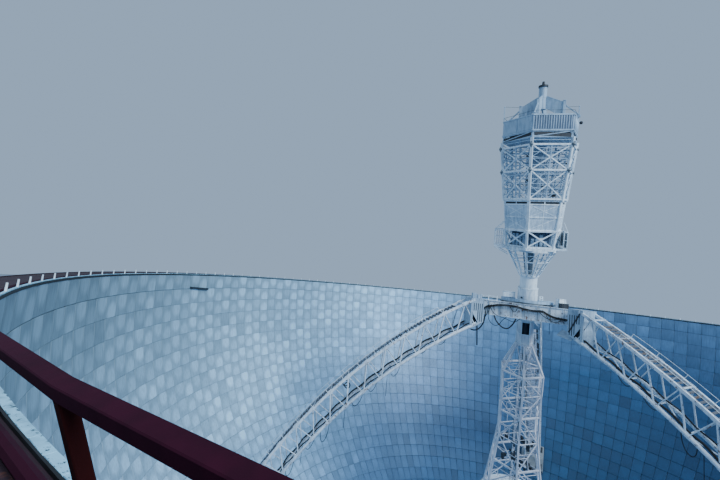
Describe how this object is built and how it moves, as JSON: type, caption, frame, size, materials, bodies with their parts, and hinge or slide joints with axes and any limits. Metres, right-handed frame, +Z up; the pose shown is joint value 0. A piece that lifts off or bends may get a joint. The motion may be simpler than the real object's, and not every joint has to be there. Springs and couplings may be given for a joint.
{
  "type": "fixed-bowl radio telescope, 1:2 scale model",
  "caption": "Half-size fixed-bowl radio telescope: hemispherical panelled mirror, arched tripod and a steerable tube with tower and pendulum.",
  "frame": {"origin": "centre of the footing ring's underside, on the ground under the middle of the bowl", "axes": "+Z up along the bowl's axis, -Y towards the side the picture was taken from, +X to the right from there"},
  "size_m": [28.6, 28.6, 21.9549],
  "materials": {
    "concrete": "matte",
    "mirror_panels": "satin",
    "white_paint": "matte",
    "painted_sheet": "matte",
    "red_oxide_paint": "satin",
    "rusty_steel": "matte",
    "dark_steel": "satin",
    "cable_rubber": "matte"
  },
  "bodies": {
    "structure": {"bowl_sector_1": "concrete", "bowl_sector_2": "concrete", "bowl_sector_3": "concrete", "bowl_sector_4": "concrete", "bowl_sector_5": "concrete", "bowl_sector_6": "concrete", "mirror_sector_1": "mirror_panels", "mirror_sector_2": "mirror_panels", "mirror_sector_3": "mirror_panels", "mirror_sector_4": "mirror_panels", "mirror_sector_5": "mirror_panels", "mirror_sector_6": "mirror_panels", "footing_1": "concrete", "footing_2": "concrete", "footing_3": "concrete", "footing_4": "concrete", "footing_5": "concrete", "footing_6": "concrete", "rim_kerb": "white_paint", "rim_walkway": "rusty_steel", "guard_rail": "red_oxide_paint", "leg_left": "white_paint", "leg_right": "white_paint", "leg_back": "white_paint", "leg_head_left": "white_paint", "leg_head_right": "white_paint", "leg_head_back": "white_paint", "leg_foot_left": "concrete", "leg_foot_right": "concrete", "leg_foot_back": "concrete", "hub_girder": "white_paint", "slewing_race": "dark_steel", "girder_cable": "cable_rubber", "vent_cowl": "white_paint", "junction_box": "dark_steel"},
    "yoke": {"turntable": "white_paint", "drive_cabinet": "white_paint", "turntable_rail": "white_paint"},
    "tube": {"tube_neck": "white_paint", "access_neck": "white_paint", "cone_frame": "white_paint", "tower_deck": "white_paint", "balcony_rail_left": "white_paint", "balcony_rail_right": "white_paint", "bay_frame": "white_paint", "bay_core": "painted_sheet", "cabin": "painted_sheet", "tower_frame": "white_paint", "tower_core": "painted_sheet", "top_drum": "painted_sheet", "vane_spider": "painted_sheet", "cap_cylinder": "painted_sheet", "pendulum_frame": "white_paint", "secondary_plate": "white_paint", "secondary_mirror": "mirror_panels", "feed_horn": "white_paint"}
  },
  "joints": [
    {"name": "yoke_turn", "type": "hinge", "parent": "structure", "child": "yoke", "pos_m": [0, 0, 14.1], "axis": [0, 0, 1], "range_deg": [-180, 180]},
    {"name": "tube_tilt", "type": "hinge", "parent": "yoke", "child": "tube", "pos_m": [0, 0, 14.1], "axis": [0.9945, 0.1045, 0], "range_deg": [-43, 17]}
  ]
}
